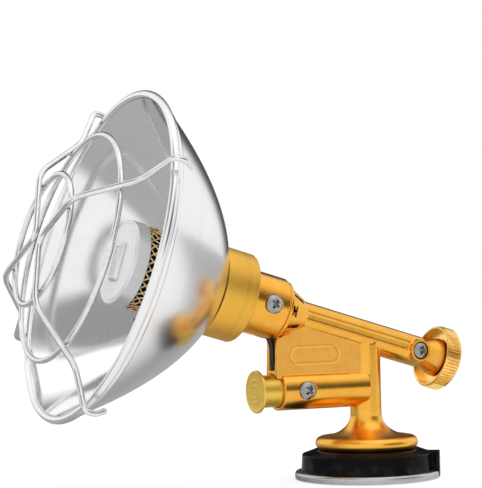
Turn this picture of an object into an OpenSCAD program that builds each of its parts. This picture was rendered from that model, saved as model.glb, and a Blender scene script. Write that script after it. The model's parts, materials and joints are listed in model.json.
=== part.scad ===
// Radiant heater head for a butane cartridge: a parabolic bowl with a wire guard and a mesh burner,
// on a cast two-shell body with a needle valve, a piezo igniter and a locking can adapter.
// Origin: centre of the can seat on the underside. +Z is up, and the bowl faces -X.

/* [Head axis] */
// Height at which the head axis crosses the column axis
axis_z = 63; // [61:0.5:66]
// Upward tilt of the bowl, in degrees
tilt = 16.4; // [15:0.2:18]

/* [Reflector bowl] */
// Radius of the rim at the middle of its rolled bead
rim_r = 70; // [64:1:76]
// Distance of the rim plane along the head axis
rim_s = 132.4; // [128:0.4:136]
// Depth of the bowl from the rim plane to its flat floor
bowl_depth = 53.9; // [50:0.5:56]
// Sheet thickness of the bowl
bowl_wall = 0.9; // [0.7:0.1:1.2]
// Radius of the rolled bead
bead_r = 1.7; // [1.4:0.1:2]

/* [Wire guard] */
// Diameter of the guard wire
wire_d = 2.5; // [2:0.1:3]
// Radius of the outer guard ring
outer_ring_r = 48.4; // [45:0.2:50]
// Radius of the inner guard ring
inner_ring_r = 27.8; // [25:0.2:30]
// Height of the flat front of the guard over the rim plane
guard_front = 27; // [24:0.5:30]
// Turn of the guard about the head axis, in degrees
guard_turn = 15; // [0:1:30]

/* [Burner] */
// Radius of the burner cap
cap_r = 18.5; // [17:0.25:19.5]
// Distance of the cap's front face along the head axis
cap_s = 122.4; // [120:0.4:125]
// Length of the cap's skirt
cap_skirt = 6.2; // [5:0.2:7]
// Length of the mesh drum
mesh_len = 15; // [12:0.5:17]

/* [Body] */
// Outside radius of the collar behind the bowl
collar_r = 19.7; // [18.5:0.1:20.5]
// Outside radius of the neck socket
neck_r = 13.85; // [13.4:0.05:14.4]
// Outside radius of the barrel
barrel_r = 6.95; // [6.6:0.05:7.4]
// Outside radius of the column
column_r = 7; // [6.7:0.1:7.4]
// Outside radius of the igniter tube
tube_r = 8.65; // [8.45:0.05:8.85]
// Height of the igniter tube's axis
tube_z = 40.4; // [39:0.2:41]
// Half the width across the housing's flat walls
web_half = 5; // [4.8:0.1:5.4]

/* [Igniter] */
// Travel of the push button
button_travel = 6.5; // [4:0.5:6.5]
// Radius of the push button's head
button_r = 9.3; // [8.8:0.1:9.6]

/* [Valve] */
// Outside radius of the control knob
knob_r = 14.4; // [13.5:0.1:15]
// Length of the control knob
knob_len = 8.2; // [7.5:0.1:9]

/* [Can adapter] */
// Radius of the steel lock plate
plate_r = 32.3; // [31.5:0.1:33.5]
// Thickness of the steel lock plate
plate_t = 3.4; // [3:0.1:3.8]
// Radius of the nylon adapter ring
adapter_r = 29.4; // [28.5:0.1:30]
// Radius of the foot's flange
foot_r = 22.9; // [22:0.1:23.5]
// Radius of the recess that takes the cartridge's valve cup
cup_r = 17; // [16.5:0.1:17.5]

/* [Hidden] */
$fn = 96;
gap = 0.05;            // clearance between pieces that are pressed or screwed together
focal = (rim_r + 0.8) * (rim_r + 0.8) / (4 * (bowl_depth + 2.1));
floor_s = rim_s - bowl_depth;
apex_s = floor_s - 2.1;
cone_s = [33.5, 43.9];
neck_s = [46, 64.4];
air_slot = [2.2, 6.2];
air_slot_s = 36.4;
channel_x = -1.3;
channel_w = 3.4;
channel_floor = barrel_r - 0.7;
channel_s = [-20.4, 33.2];
barrel_end_s = -29;
boss_s = -25.5;
boss_r = 4.9;
boss_y = 8.6;
boss_seat = boss_y - 1.4;
neck_seat = neck_r - 0.6;
tube_seat = tube_r - 0.9;
neck_screw_s = 54;
collar_s = [64.6, 80];
spigot_r = 11.4;
tube_x = [-44.7, -2];
tube_bore = 7.25;
tube_screw_x = -33.5;
button_x = -55.2;
spring_x = [-52, -38];
adapter_top = 12.7;
foot_top = 28;
throat_r = 6.6;
stem_r = 5.6;
knob_s = -36;
lug_angle = -35;

gold = "goldenrod";
brass = "darkgoldenrod";
steel = "silver";

// ---- shared geometry ----

// Moves a shape from the head's own frame, where Z is the distance s along the head axis
// towards the bowl and X points upwards, into the part's frame.
module on_head() translate([0, 0, axis_z]) rotate([0, tilt - 90, 0]) children();

// A ring or tube about Z from height z0 to z1.
module tube(r_out, r_in, z0, z1) {
  translate([0, 0, z0]) difference() {
    cylinder(r = r_out, h = z1 - z0);
    translate([0, 0, -1]) cylinder(r = r_in, h = z1 - z0 + 2);
  }
}

// A rod about Z from height z0 to z1.
module rod(r, z0, z1) translate([0, 0, z0]) cylinder(r = r, h = z1 - z0);

// A rod along X at height z, from x0 to x1.
module rod_x(r, x0, x1, z) translate([x0, 0, z]) rotate([0, 90, 0]) cylinder(r = r, h = x1 - x0);

// A truncated cone about Z.
module taper(r0, r1, z0, z1) translate([0, 0, z0]) cylinder(r1 = r0, r2 = r1, h = z1 - z0);

function unit(v) = v / norm(v);

// A point on the quadratic curve from a to c with its corner at b.
function curve_point(a, b, c, t) = (1 - t) * (1 - t) * a + 2 * t * (1 - t) * b + t * t * c;

// The polyline p with each inner corner rounded, starting the given distance before it.
function rounded(p, cut, steps = 6) = [
  p[0],
  for (i = [1 : len(p) - 2])
    let (a = p[i] + unit(p[i - 1] - p[i]) * cut[i - 1], c = p[i] + unit(p[i + 1] - p[i]) * cut[i - 1])
      for (k = [0 : steps]) curve_point(a, p[i], c, k / steps),
  p[len(p) - 1]
];

// A round rod along a list of points; no stretch of it may run along the direction side.
module rod_along(path, d, side, faces = 12) {
  count = len(path);
  rings = [
    for (i = [0 : count - 1])
      let (
        ahead = unit(path[min(i + 1, count - 1)] - path[max(i - 1, 0)]),
        u = unit(cross(side, ahead)),
        v = cross(ahead, u)
      )
      for (k = [0 : faces - 1]) path[i] + d / 2 * (cos(360 * k / faces) * u + sin(360 * k / faces) * v)
  ];
  walls = [
    for (i = [0 : count - 2], k = [0 : faces - 1])
      let (a = i * faces + k, b = i * faces + (k + 1) % faces)
        each [[a, a + faces, b], [b, a + faces, b + faces]]
  ];
  ends = [[for (k = [0 : faces - 1]) k], [for (k = [faces - 1 : -1 : 0]) (count - 1) * faces + k]];
  polyhedron(rings, concat(walls, ends), convexity = 8);
}

// A cross-head screw pointing along -Z from its seat at z = 0, with a domed head above it.
module dome_screw(head_r, head_h, shank_r, length) {
  difference() {
    union() {
      intersection() {
        translate([0, 0, head_h - 1.6 * head_r]) sphere(r = 1.6 * head_r);
        rod(head_r, 0, head_h + 1);
      }
      rod(shank_r, -length, 0.1);
    }
    for (turn = [0, 90]) rotate([0, 0, turn]) translate([-head_r * 0.55, -0.45, head_h - 1.2])
      cube([head_r * 1.1, 0.9, 2]);
  }
}

// The flat seat and the hole of a screw that points at the middle plane from one side.
module screw_seat(side, seat_y, r) {
  rotate([side * -90, 0, 0]) {
    rod(r, seat_y, seat_y + 9);
    rod(1.65, 3, seat_y + 1);
  }
}

// ---- body shells ----

// The housing wall between the barrel and the igniter tube, as an outline in X and Z.
module web_outline() {
  polygon([[-47, 46], [-46.4, 63.2], [-36.3, 66.9], [-30, 72], [0, 62], [0, 40], [-20, 36]]);
}

// The space inside the housing wall, which takes the igniter lead.
module web_hollow() {
  polygon([[-60, 49.3], [-60, 68], [-46, 62.5], [-36.4, 65.2], [-8.5, 57], [-8.5, 49.3]]);
}

// The outside of both shells as one body.
module body_outside() {
  on_head() {
    rod(neck_r, neck_s[0] + 0.4, neck_s[1]);
    taper(neck_r - 0.4, neck_r, neck_s[0], neck_s[0] + 0.4);
    // a lip behind the neck, with a groove between them
    rod(neck_r - 1.9, cone_s[1], neck_s[0] + 0.1);
    rod(neck_r - 0.9, cone_s[1], neck_s[0] - 0.6);
    taper(barrel_r, 11.6, cone_s[0], cone_s[1]);
    rod(barrel_r, barrel_end_s, cone_s[0]);
    translate([0, -boss_y, boss_s]) rotate([-90, 0, 0]) cylinder(r = boss_r, h = 2 * boss_y);
  }
  translate([0, web_half, 0]) rotate([90, 0, 0]) linear_extrude(2 * web_half) web_outline();
  rod_x(tube_r, tube_x[0], tube_x[1], tube_z);
  rod(column_r, foot_top, axis_z - 3);
  rod(5.2, foot_top - 9, foot_top + 1);
}

// Everything that is hollow inside the shells.
module body_inside() {
  on_head() {
    rod(spigot_r + gap, 47.6, 70);
    rod(9.4, 40, 48);
    taper(5, 9.6, cone_s[0], cone_s[1]);
    rod(5, -60, cone_s[0] + 1);
    // air slots round the intake cone, clear of the housing wall below it
    for (turn = [0, 45, 130, 230, 315]) rotate([0, 0, turn]) translate([3, -air_slot[0] / 2, air_slot_s])
      cube([12, air_slot[0], air_slot[1]]);
    // a channel along each side of the barrel that widens on the cone and ends in an air window
    for (far = [0, 1]) mirror([0, far, 0]) {
      translate([channel_x, -channel_floor - 2.4, channel_s[0]])
        cube([channel_w, 2.4, channel_s[1] - channel_s[0]]);
      hull() {
        translate([channel_x, -channel_floor - 6, cone_s[0] - 0.5]) cube([channel_w, 6, 0.1]);
        translate([channel_x - 1.3, -channel_floor - 10.3, cone_s[1] - 0.2])
          cube([channel_w + 2.6, 6, 0.1]);
      }
      translate([channel_x - 0.3, -13, cone_s[1] - 2.4]) cube([4, 6, 2]);
    }
    // seats for the neck and boss screws, and the opening for the valve's stem
    for (side = [-1, 1]) {
      translate([0, 0, neck_screw_s]) screw_seat(side, neck_seat, 4.1);
      translate([0, 0, boss_s]) screw_seat(side, boss_seat, 3.9);
    }
    rod(stem_r + gap, -60, barrel_end_s);
  }
  // bore of the igniter tube, and the seats of the screws that stop its button
  rod_x(tube_bore, tube_x[0] - 5, -9, tube_z);
  for (side = [-1, 1]) translate([tube_screw_x, 0, tube_z]) screw_seat(side, tube_seat, 4.1);
  // housing space, the lead's passages and the gas riser's bore
  translate([0, web_half - 2.2, 0]) rotate([90, 0, 0]) linear_extrude(2 * web_half - 4.4) web_hollow();
  translate([-14, 0, 44]) cylinder(r = 1.9, h = 7);
  translate([-46.4, 0, 59.6]) rotate([0, -28, 0]) cylinder(r = 1.9, h = 10);
  rod(2.6, 10, axis_z);
}

module body_shell(side) {
  color(gold) difference() {
    body_outside();
    body_inside();
    translate([-150, side > 0 ? -100 + gap : -gap, -50]) cube([300, 100, 250]);
  }
}

module body_shell_near() body_shell(-1);
module body_shell_far() body_shell(1);

// Six cross-head screws: neck, boss and igniter tube, on both sides.
module shell_screws() {
  color(steel) for (side = [-1, 1]) {
    on_head() translate([0, side * (neck_seat + gap), neck_screw_s]) rotate([side * -90, 0, 0])
      dome_screw(4, 2.4, 1.6, 2.7);
    on_head() translate([0, side * (boss_seat + gap), boss_s]) rotate([side * -90, 0, 0])
      dome_screw(3.6, 2.4, 1.6, 4.2);
    translate([tube_screw_x, side * (tube_seat + gap), tube_z]) rotate([side * -90, 0, 0])
      dome_screw(4, 2.4, 1.6, 2);
  }
}

// ---- base ----

// Flared foot that the column stands in; its flange has a rounded edge.
module pillar_foot() {
  flange_h = 5.9;
  edge_r = flange_h / 2;
  flare_r = 13.5;
  flare_z = adapter_top + flange_h + 9.4;
  outline = concat(
    [[0, adapter_top], [foot_r - edge_r, adapter_top]],
    [for (a = [-75 : 15 : 75]) [foot_r - edge_r + edge_r * cos(a), adapter_top + edge_r + edge_r * sin(a)]],
    [[foot_r - edge_r, adapter_top + flange_h]],
    [for (a = [0 : 10 : 80]) [column_r + flare_r * (1 - sin(a)), flare_z - 9.4 * cos(a)]],
    [[column_r, flare_z], [0, flare_z]]
  );
  color(gold) difference() {
    rotate_extrude() polygon(outline);
    rod(5.25, foot_top - 9.3, foot_top + 2);
    rod(3.55, 0, 30);
    for (turn = [90 : 120 : 330]) rotate([0, 0, turn]) translate([14, 0, 0]) rod(1.5, adapter_top - 1, 16.3);
  }
}

// Nylon ring between the foot and the cartridge, with a grip lug at its side.
module adapter_ring() {
  outline = [
    [0, plate_t + gap], [adapter_r, plate_t + gap], [adapter_r - 0.4, 10.4], [adapter_r - 1.2, 11.2],
    [23.9, adapter_top - gap], [0, adapter_top - gap]
  ];
  color("black") difference() {
    union() {
      rotate_extrude() polygon(outline);
      rotate([0, 0, lug_angle - 8.5]) rotate_extrude(angle = 17)
        translate([25, plate_t + 0.4]) square([6, 7.9]);
    }
    rod(cup_r, 0, 9.2);
    rod(6, 0, 20);
    for (turn = [90 : 120 : 330]) rotate([0, 0, turn]) translate([14, 0, 0]) cylinder(r = 1.7, h = 20);
    for (turn = [30 : 120 : 270]) rotate([0, 0, turn]) translate([23.5, 0, 0]) cylinder(r = 1.5, h = 9);
  }
}

// Steel ring that grips the cartridge: three inner lugs, one upright tab at the edge.
module lock_plate() {
  color(steel) difference() {
    union() {
      rod(plate_r, 0, plate_t);
      rotate([0, 0, lug_angle]) translate([31.1, -4, 0]) cube([1.2, 8, 11.6]);
    }
    difference() {
      rod(cup_r + 2, -1, 5);
      for (turn = [90 : 120 : 330]) rotate([0, 0, turn]) translate([cup_r, -4, -1]) cube([4, 8, 3]);
    }
    rod(cup_r, -1, 5);
    for (turn = [30 : 120 : 270]) rotate([0, 0, turn]) translate([23.5, 0, 0]) {
      rod(1.7, -1, 5);
      taper(3.3, 1.7, -0.1, 1.5);
    }
  }
}

// Countersunk screws that hold the lock plate to the adapter ring.
module lock_screws() {
  color(steel) for (turn = [30 : 120 : 270]) rotate([0, 0, turn]) translate([23.5, 0, 0]) difference() {
    union() {
      taper(3.1, 1.5, 0.05, 1.5);
      rod(1.4, 1.4, 8.6);
    }
    for (turn2 = [0, 90]) rotate([0, 0, turn2]) translate([-1.6, -0.4, -1]) cube([3.2, 0.8, 1.8]);
  }
}

// Pan-head screws that hold the adapter ring to the foot.
module foot_screws() {
  color(steel) for (turn = [90 : 120 : 330]) rotate([0, 0, turn]) translate([14, 0, 0]) difference() {
    union() {
      rod(2.8, 7.4, 9.15);
      rod(1.45, 9.1, 16);
    }
    for (turn2 = [0, 90]) rotate([0, 0, turn2]) translate([-1.5, -0.4, 6]) cube([3, 0.8, 2.2]);
  }
}

// Rubber ring that seals against the cartridge valve.
module can_seal() {
  color("dimgray") translate([0, 0, 4.6]) rotate_extrude() translate([3.4, 0]) circle(r = 1.1, $fn = 32);
}

// Brass inlet that opens the cartridge valve; its groove holds the seal.
module inlet_probe() {
  color(brass) difference() {
    union() {
      rod(5.6, 5.75, 9.2);
      rod(3.5, 9, 18.6);
      rod(2.2, 3, 6);
    }
    rod(0.9, 2, 12);
    rod(2.05, 12, 20);
  }
}

// Copper tube up the column to the valve.
module gas_riser() {
  color("peru") tube(2, 1.3, 12.1, axis_z - 5.1);
}

// ---- valve ----

// Valve body: fills the rear of the barrel, and its stem stands out towards the knob.
module valve_body() {
  color(gold) difference() {
    on_head() difference() {
      union() {
        rod(4.9, barrel_end_s - 0.5, 6);
        rod(stem_r, -38.5, barrel_end_s - gap);
      }
      rod(2.25, -45, 2);
      rod(0.8, 1, 10);
      rod(2.05, 4, 10);
      rod(3.6, -45, -34);
      for (side = [-1, 1]) translate([0, 0, boss_s]) rotate([side * -90, 0, 0]) rod(1.65, 2.8, 7);
    }
    // socket and passage of the gas riser
    rod(2.05, axis_z - 8, axis_z - 5);
    rod(1.2, axis_z - 6, axis_z);
  }
}

// Needle that throttles the gas; it turns with the knob.
module needle_spindle() {
  color(brass) on_head() rotate_extrude()
    polygon([[0, -42.6], [2.2, -42.6], [2.2, -1.2], [0.5, 1.6], [0, 1.6]]);
}

// Rubber ring on the spindle.
module spindle_seal() {
  color("dimgray") on_head() translate([0, 0, -35.1]) rotate_extrude() translate([2.95, 0])
    circle(r = 0.6, $fn = 32);
}

// Nut that keeps the seal in.
module gland_nut() {
  color(brass) on_head() tube(3.55, 2.3, -38.3, -35.8);
}

// Hollow knurled knob, open towards the body.
module control_knob() {
  color(gold) on_head() difference() {
    union() {
      rod(knob_r, knob_s - knob_len + 0.8, knob_s);
      taper(knob_r - 0.8, knob_r, knob_s - knob_len, knob_s - knob_len + 0.8);
    }
    rod(knob_r - 1.6, knob_s - 3.4, knob_s + 1);
    taper(stem_r + 0.6, knob_r - 2.6, knob_s - 5.2, knob_s - 3.3);
    rod(2.25, knob_s - 20, knob_s);
  }
}

// Screw that holds the knob on the spindle.
module knob_screw() {
  color(steel) on_head() translate([0, 0, knob_s - knob_len - gap]) rotate([180, 0, 0]) difference() {
    taper(4.2, 3.2, 0, 1.8);
    for (turn = [0, 90]) rotate([0, 0, turn]) translate([-2.2, -0.45, 0.8]) cube([4.4, 0.9, 2]);
  }
}

// Copper tube through the barrel to the jet.
module gas_tube() {
  color("peru") on_head() tube(2, 1.2, 4.1, 24);
}

// Brass holder of the jet at the barrel's front.
module jet_holder() {
  color(brass) on_head() difference() {
    rod(4.9, 21, 33.4);
    rod(2.05, 20, 24.05);
    rod(1.2, 22, 28);
    rod(1.85, 27.9, 40);
  }
}

// Brass jet.
module jet_nozzle() {
  color(brass) on_head() difference() {
    union() {
      rod(1.8, 28, 35);
      taper(1.8, 1.1, 35, 37.2);
    }
    rod(1, 27, 36);
    rod(0.3, 30, 40);
  }
}

// ---- igniter ----

// Push button: a disc head on a hollow sleeve, with a slot on each side for the stop pins.
module push_button() {
  slot_len = button_travel + 3.9;
  color("khaki") difference() {
    union() {
      rod_x(button_r, button_x + 0.3, button_x + 1.3, tube_z);
      rod_x(button_r - 0.4, button_x, button_x + 0.4, tube_z);
      rod_x(7, button_x + 1, -29, tube_z);
    }
    rod_x(5.6, spring_x[0], -28, tube_z);
    translate([tube_screw_x - button_travel - 1.95, -20, tube_z - 1.95]) cube([slot_len, 40, 3.9]);
  }
}

// Rod that carries the button's push into the igniter.
module igniter_plunger() {
  color("whitesmoke") rod_x(2.4, spring_x[0] + gap, -32, tube_z);
}

// Coil spring that returns the button.
module button_spring() {
  turns = 6;
  steps = 20 * turns;
  coil_r = 4;
  span = spring_x[1] - spring_x[0] - 1.2;
  path = [
    for (i = [0 : steps])
      [spring_x[0] + 0.6 + span * i / steps, coil_r * cos(18 * i), tube_z + coil_r * sin(18 * i)]
  ];
  color(steel) rod_along(path, 0.9, [1, 0, 0], 8);
}

// Piezo unit, seated at the end of the igniter tube.
module igniter_case() {
  color("dimgray") difference() {
    union() {
      rod_x(5.2, spring_x[1], -9.2, tube_z);
      rod_x(7.15, -12, -9.05, tube_z);
    }
    rod_x(2.65, spring_x[1] - 1, -23, tube_z);
    translate([-14, 0, tube_z + 2]) cylinder(r = 1.4, h = 10);
  }
}

// High-voltage lead from the igniter, up behind the housing wall and through the neck.
module hv_lead() {
  route = [
    [-14, 0, 43], [-14, 0, 50.7], [-46.3, 0, 50.7], [-46.4, 0, 60],
    head_point(-9.1, 49.6), head_point(-8.6, 68.2), head_point(-15, 70.8), head_point(-15, 73.5)
  ];
  color("black") rod_along(rounded(route, [2.5, 2, 2, 3, 3, 2]), 2.4, [0, 1, 0]);
}

// The point of the part's frame at height x over the head axis and distance s along it.
function head_point(x, s) = [x * sin(tilt) - s * cos(tilt), 0, axis_z + x * cos(tilt) + s * sin(tilt)];

// Ceramic sleeve that carries the electrode through the bowl's floor.
module electrode_insulator() {
  color("white") on_head() translate([-15, 0, 0]) difference() {
    union() {
      rod(1.75, 72, 92);
      rod(2.6, 78.9 - 1.5, 78.9 - 0.4);
    }
    rod(1.3, 71, 74);
    rod(0.75, 71, 93);
  }
}

// Spark electrode beside the mesh.
module electrode_wire() {
  route = [[-15, 0, 74.1], [-15, 0, 94], [-21.6, 0, 102], [-21.6, 0, 110]];
  color(steel) on_head() rod_along(rounded(route, [3, 3]), 1.4, [0, 1, 0]);
}

// ---- burner ----

// Throat tube from the jet to the burner, with a bell mouth and a shoulder behind the bowl.
module mixing_tube() {
  color(steel) on_head() difference() {
    union() {
      taper(9.2, throat_r, 48, 52);
      rod(throat_r, 51.9, rim_s - 30.1);
      rod(11, floor_s - 1.1, floor_s - gap);
    }
    taper(8.4, 5.7, 47.9, 52);
    rod(5.7, 51, rim_s);
  }
}

// Sleeve behind the bowl with a spigot that plugs into the neck.
module head_collar() {
  color(brass) on_head() difference() {
    union() {
      rod(collar_r, collar_s[0] + 0.8, collar_s[1]);
      taper(collar_r - 0.8, collar_r, collar_s[0], collar_s[0] + 0.8);
      rod(spigot_r, 52.5, collar_s[0] + 0.1);
    }
    rod(collar_r - 1.5, collar_s[0] + 1.8, 90);
    rod(10.3, 50, 80);
    for (side = [-1, 1]) translate([0, 0, neck_screw_s]) rotate([side * -90, 0, 0]) rod(1.65, 9, 13);
  }
}

// Steel disc that joins the throat tube to the collar.
module collar_disc() {
  color(steel) on_head() difference() {
    tube(collar_r - 1.55, throat_r + gap, 75.2, 76.4);
    translate([-15, 0, 0]) rod(1.85, 70, 80);
  }
}

// Radius of the bowl's outside at a distance s along the head axis.
function bowl_radius(s) = sqrt(4 * focal * (s - apex_s));

// Parabolic sheet bowl with a stepped rim band and a rolled bead.
module reflector_bowl() {
  steps = 26;
  band_s = rim_s - 5;
  last_s = rim_s - 1.2;
  stations = [for (i = [0 : steps]) floor_s + (last_s - floor_s) * pow(i / steps, 1.5)];
  outside = [for (s = stations) [bowl_radius(s), s]];
  // the inside face lies one wall thickness inwards, square to the outside
  inside = [
    for (i = [steps : -1 : 0])
      let (r = bowl_radius(stations[i]), lean = atan(2 * focal / r))
        [r - bowl_wall * cos(lean), stations[i] + bowl_wall * sin(lean)]
  ];
  color("gainsboro") on_head() difference() {
    union() {
      rotate_extrude() polygon(concat(
        [[0, floor_s]], outside, [[rim_r - 0.6, last_s + 0.6]], inside, [[0, floor_s + bowl_wall]]
      ));
      tube(bowl_radius(band_s + 1.8) + 0.5, bowl_radius(band_s) - 0.3, band_s, band_s + 2.4);
      translate([0, 0, rim_s]) rotate_extrude() translate([rim_r, 0]) circle(r = bead_r);
    }
    rod(throat_r + gap, floor_s - 1, floor_s + 5);
    translate([-15, 0, 0]) rod(1.9, floor_s - 2, floor_s + 8);
  }
}

// Nut that clamps the bowl against the throat tube's shoulder.
module bowl_nut() {
  color(steel) on_head() difference() {
    rod(10.6, floor_s + bowl_wall + gap, floor_s + bowl_wall + 3.6, $fn = 6);
    rod(throat_r + gap, floor_s, floor_s + 9);
  }
}

// Dish that closes the back of the burner.
module burner_plate() {
  back = cap_s - cap_skirt - mesh_len;
  color(steel) on_head() difference() {
    rod(cap_r, back - 1.1, back - gap);
    rod(throat_r + gap, back - 3, back + 3);
  }
}

// Perforated inner drum.
module burner_drum() {
  back = cap_s - cap_skirt - mesh_len;
  color(steel) on_head() difference() {
    tube(cap_r - 2.1, cap_r - 2.7, back, cap_s - cap_skirt - gap);
    for (turn = [0 : 45 : 135], s = [back + 4, back + 10]) rotate([0, 0, turn]) translate([0, 0, s])
      rotate([90, 0, 0]) cylinder(r = 1.6, h = 60, center = true);
  }
}

// Woven brass mesh drum, drawn as a plain band.
module burner_mesh() {
  back = cap_s - cap_skirt - mesh_len;
  color(brass) on_head() tube(cap_r - 0.2, cap_r - 1.4, back, cap_s - cap_skirt - gap);
}

// Aluminium cap with a pressed bridge across its face.
module burner_cap() {
  color("lightgray") on_head() difference() {
    union() {
      rod(cap_r, cap_s - cap_skirt, cap_s - 0.8);
      taper(cap_r, cap_r - 0.8, cap_s - 0.8, cap_s);
      translate([-8.5, -4.2, cap_s - 0.5]) cube([17, 8.4, 2.4]);
    }
    rod(cap_r - 1.2, cap_s - cap_skirt - 1, cap_s - 1.3);
    translate([-6.5, -2.6, cap_s - 2]) cube([13, 5.2, 2.6]);
  }
}

// ---- guard ----

// One bent guard wire: two arms at 45 degrees to its own side, hooked over the rim.
module guard_wire(turn, corner, bend) {
  shift = corner * cos(45);
  arm = [
    [73.9, -5.3], [76.7, -0.9], [76.3, 3.5], [57.5, 8.5], [34.5, guard_front]
  ];
  half = [for (p = arm) [corner + (p[0] - shift) * cos(45), (p[0] - shift) * sin(45), rim_s + p[1]]];
  other = [for (i = [len(half) - 1 : -1 : 0]) [half[i][0], -half[i][1], half[i][2]]];
  tip = [corner, 0, rim_s + guard_front];
  cuts = [2, 2, 4, 6, bend, 6, 4, 2, 2];
  color(steel) on_head() rotate([0, 0, turn])
    rod_along(rounded(concat(half, [tip], other), cuts), wire_d, [1, 0, 0]);
}

module guard_wire_near() guard_wire(-90 - guard_turn, 4, 7);
module guard_wire_far() guard_wire(90 - guard_turn, 2, 5);

// A guard ring of round wire at a height over the rim plane.
module guard_ring(r, height) {
  color(steel) on_head() translate([0, 0, rim_s + height]) rotate_extrude() translate([r, 0])
    circle(d = wire_d, $fn = 32);
}

// How far below the sloping arms the outer ring sits to lie against them.
arm_slope = atan((guard_front - 8.5) / (57.5 - 34.5));
outer_ring_height = 8.5 + (57.5 - outer_ring_r) * tan(arm_slope) - (wire_d + gap) / cos(arm_slope);

module guard_ring_outer() guard_ring(outer_ring_r, outer_ring_height);
module guard_ring_inner() guard_ring(inner_ring_r, guard_front - wire_d - gap);

// ---- selection ----

body_shell_near();
body_shell_far();
shell_screws();
pillar_foot();
adapter_ring();
lock_plate();
lock_screws();
foot_screws();
can_seal();
inlet_probe();
gas_riser();
valve_body();
needle_spindle();
spindle_seal();
gland_nut();
control_knob();
knob_screw();
gas_tube();
jet_holder();
jet_nozzle();
push_button();
igniter_plunger();
button_spring();
igniter_case();
hv_lead();
electrode_insulator();
electrode_wire();
mixing_tube();
head_collar();
collar_disc();
reflector_bowl();
bowl_nut();
burner_plate();
burner_drum();
burner_mesh();
burner_cap();
guard_wire_near();
guard_wire_far();
guard_ring_outer();
guard_ring_inner();
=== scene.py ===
import json
from math import asin, atan, cos, hypot, pi, radians, sin, sqrt, tan

import bpy
from mathutils import Matrix, Vector


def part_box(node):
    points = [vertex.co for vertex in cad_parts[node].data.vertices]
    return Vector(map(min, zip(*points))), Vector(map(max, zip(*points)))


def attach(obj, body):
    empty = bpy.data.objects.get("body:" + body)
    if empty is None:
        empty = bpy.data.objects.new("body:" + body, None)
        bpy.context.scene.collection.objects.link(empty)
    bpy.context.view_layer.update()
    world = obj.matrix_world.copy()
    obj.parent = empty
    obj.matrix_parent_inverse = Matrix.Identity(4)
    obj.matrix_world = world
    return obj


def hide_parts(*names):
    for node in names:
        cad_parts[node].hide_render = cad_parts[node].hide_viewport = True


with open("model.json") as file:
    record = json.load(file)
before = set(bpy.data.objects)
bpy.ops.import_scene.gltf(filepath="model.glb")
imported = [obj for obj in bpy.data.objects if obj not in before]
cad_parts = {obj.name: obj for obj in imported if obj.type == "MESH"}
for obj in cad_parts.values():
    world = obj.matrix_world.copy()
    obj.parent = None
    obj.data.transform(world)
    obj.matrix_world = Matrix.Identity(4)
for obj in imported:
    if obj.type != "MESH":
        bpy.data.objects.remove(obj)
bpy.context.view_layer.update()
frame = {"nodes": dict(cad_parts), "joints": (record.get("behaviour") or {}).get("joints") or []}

nodes = frame["nodes"]

# ---- lock plate ----
# Stamped steel ring that hooks under the cartridge's rim, with three inner lugs and a rounded outer edge.
# Pieces are shaped in millimetres and settled into metres at the end.

plate_low, plate_high = [corner * 1000 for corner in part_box("lock_plate")]
plate_r = -plate_low.x
plate_top = 3.4
plate_bore = 19


def alone(piece):
    """Selects one piece and nothing else."""
    bpy.ops.object.select_all(action="DESELECT")
    piece.select_set(True)
    bpy.context.view_layer.objects.active = piece


def turned(outline, sides=128):
    """Spins an outline of (radius, height) points about Z. It is closed unless both ends are on the axis."""
    bpy.ops.object.select_all(action="DESELECT")
    bpy.ops.mesh.primitive_plane_add(size=1)
    piece = bpy.context.object
    bpy.ops.object.mode_set(mode="EDIT")
    bpy.ops.mesh.merge(type="CENTER")
    bpy.ops.transform.translate(value=(outline[0][0], 0, outline[0][1]))
    solid_core = outline[0][0] == 0 and outline[-1][0] == 0
    stops = outline if solid_core else outline + outline[:1]
    for (r0, z0), (r1, z1) in zip(stops, stops[1:]):
        bpy.ops.mesh.extrude_region_move(TRANSFORM_OT_translate={"value": (r1 - r0, 0, z1 - z0)})
    bpy.ops.mesh.select_all(action="SELECT")
    bpy.ops.mesh.remove_doubles(threshold=0.0005)
    bpy.ops.mesh.select_all(action="SELECT")
    bpy.ops.mesh.spin(steps=sides, angle=2 * pi, center=(0, 0, 0), axis=(0, 0, 1))
    bpy.ops.mesh.select_all(action="SELECT")
    bpy.ops.mesh.remove_doubles(threshold=0.001)
    bpy.ops.mesh.normals_make_consistent(inside=False)
    bpy.ops.object.mode_set(mode="OBJECT")
    return piece


def arc(r, z, radius, start, end, steps=6):
    """Points on an arc round (r, z), from one angle to another in degrees; 0 points outwards and 90 up."""
    turns = [radians(start + (end - start) * k / steps) for k in range(steps + 1)]
    return [(r + radius * cos(a), z + radius * sin(a)) for a in turns]


def apply(piece, kind, **settings):
    """Adds a modifier with these settings and applies it."""
    alone(piece)
    modifier = piece.modifiers.new("shaping", kind)
    for name, value in settings.items():
        setattr(modifier, name, value)
    bpy.ops.object.modifier_apply(modifier=modifier.name)
    return piece


def soften(piece, width, segments=3, angle=32):
    """Rounds every edge that is sharper than the given angle."""
    return apply(piece, "BEVEL", width=width, segments=segments, limit_method="ANGLE",
                 angle_limit=radians(angle), miter_outer="MITER_ARC", use_clamp_overlap=True)


def combine(piece, tool, operation):
    """Joins a tool to a piece, or cuts it away from it, and removes the tool."""
    apply(piece, "BOOLEAN", object=tool, operation=operation, solver="EXACT")
    bpy.data.objects.remove(tool)
    return piece


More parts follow.
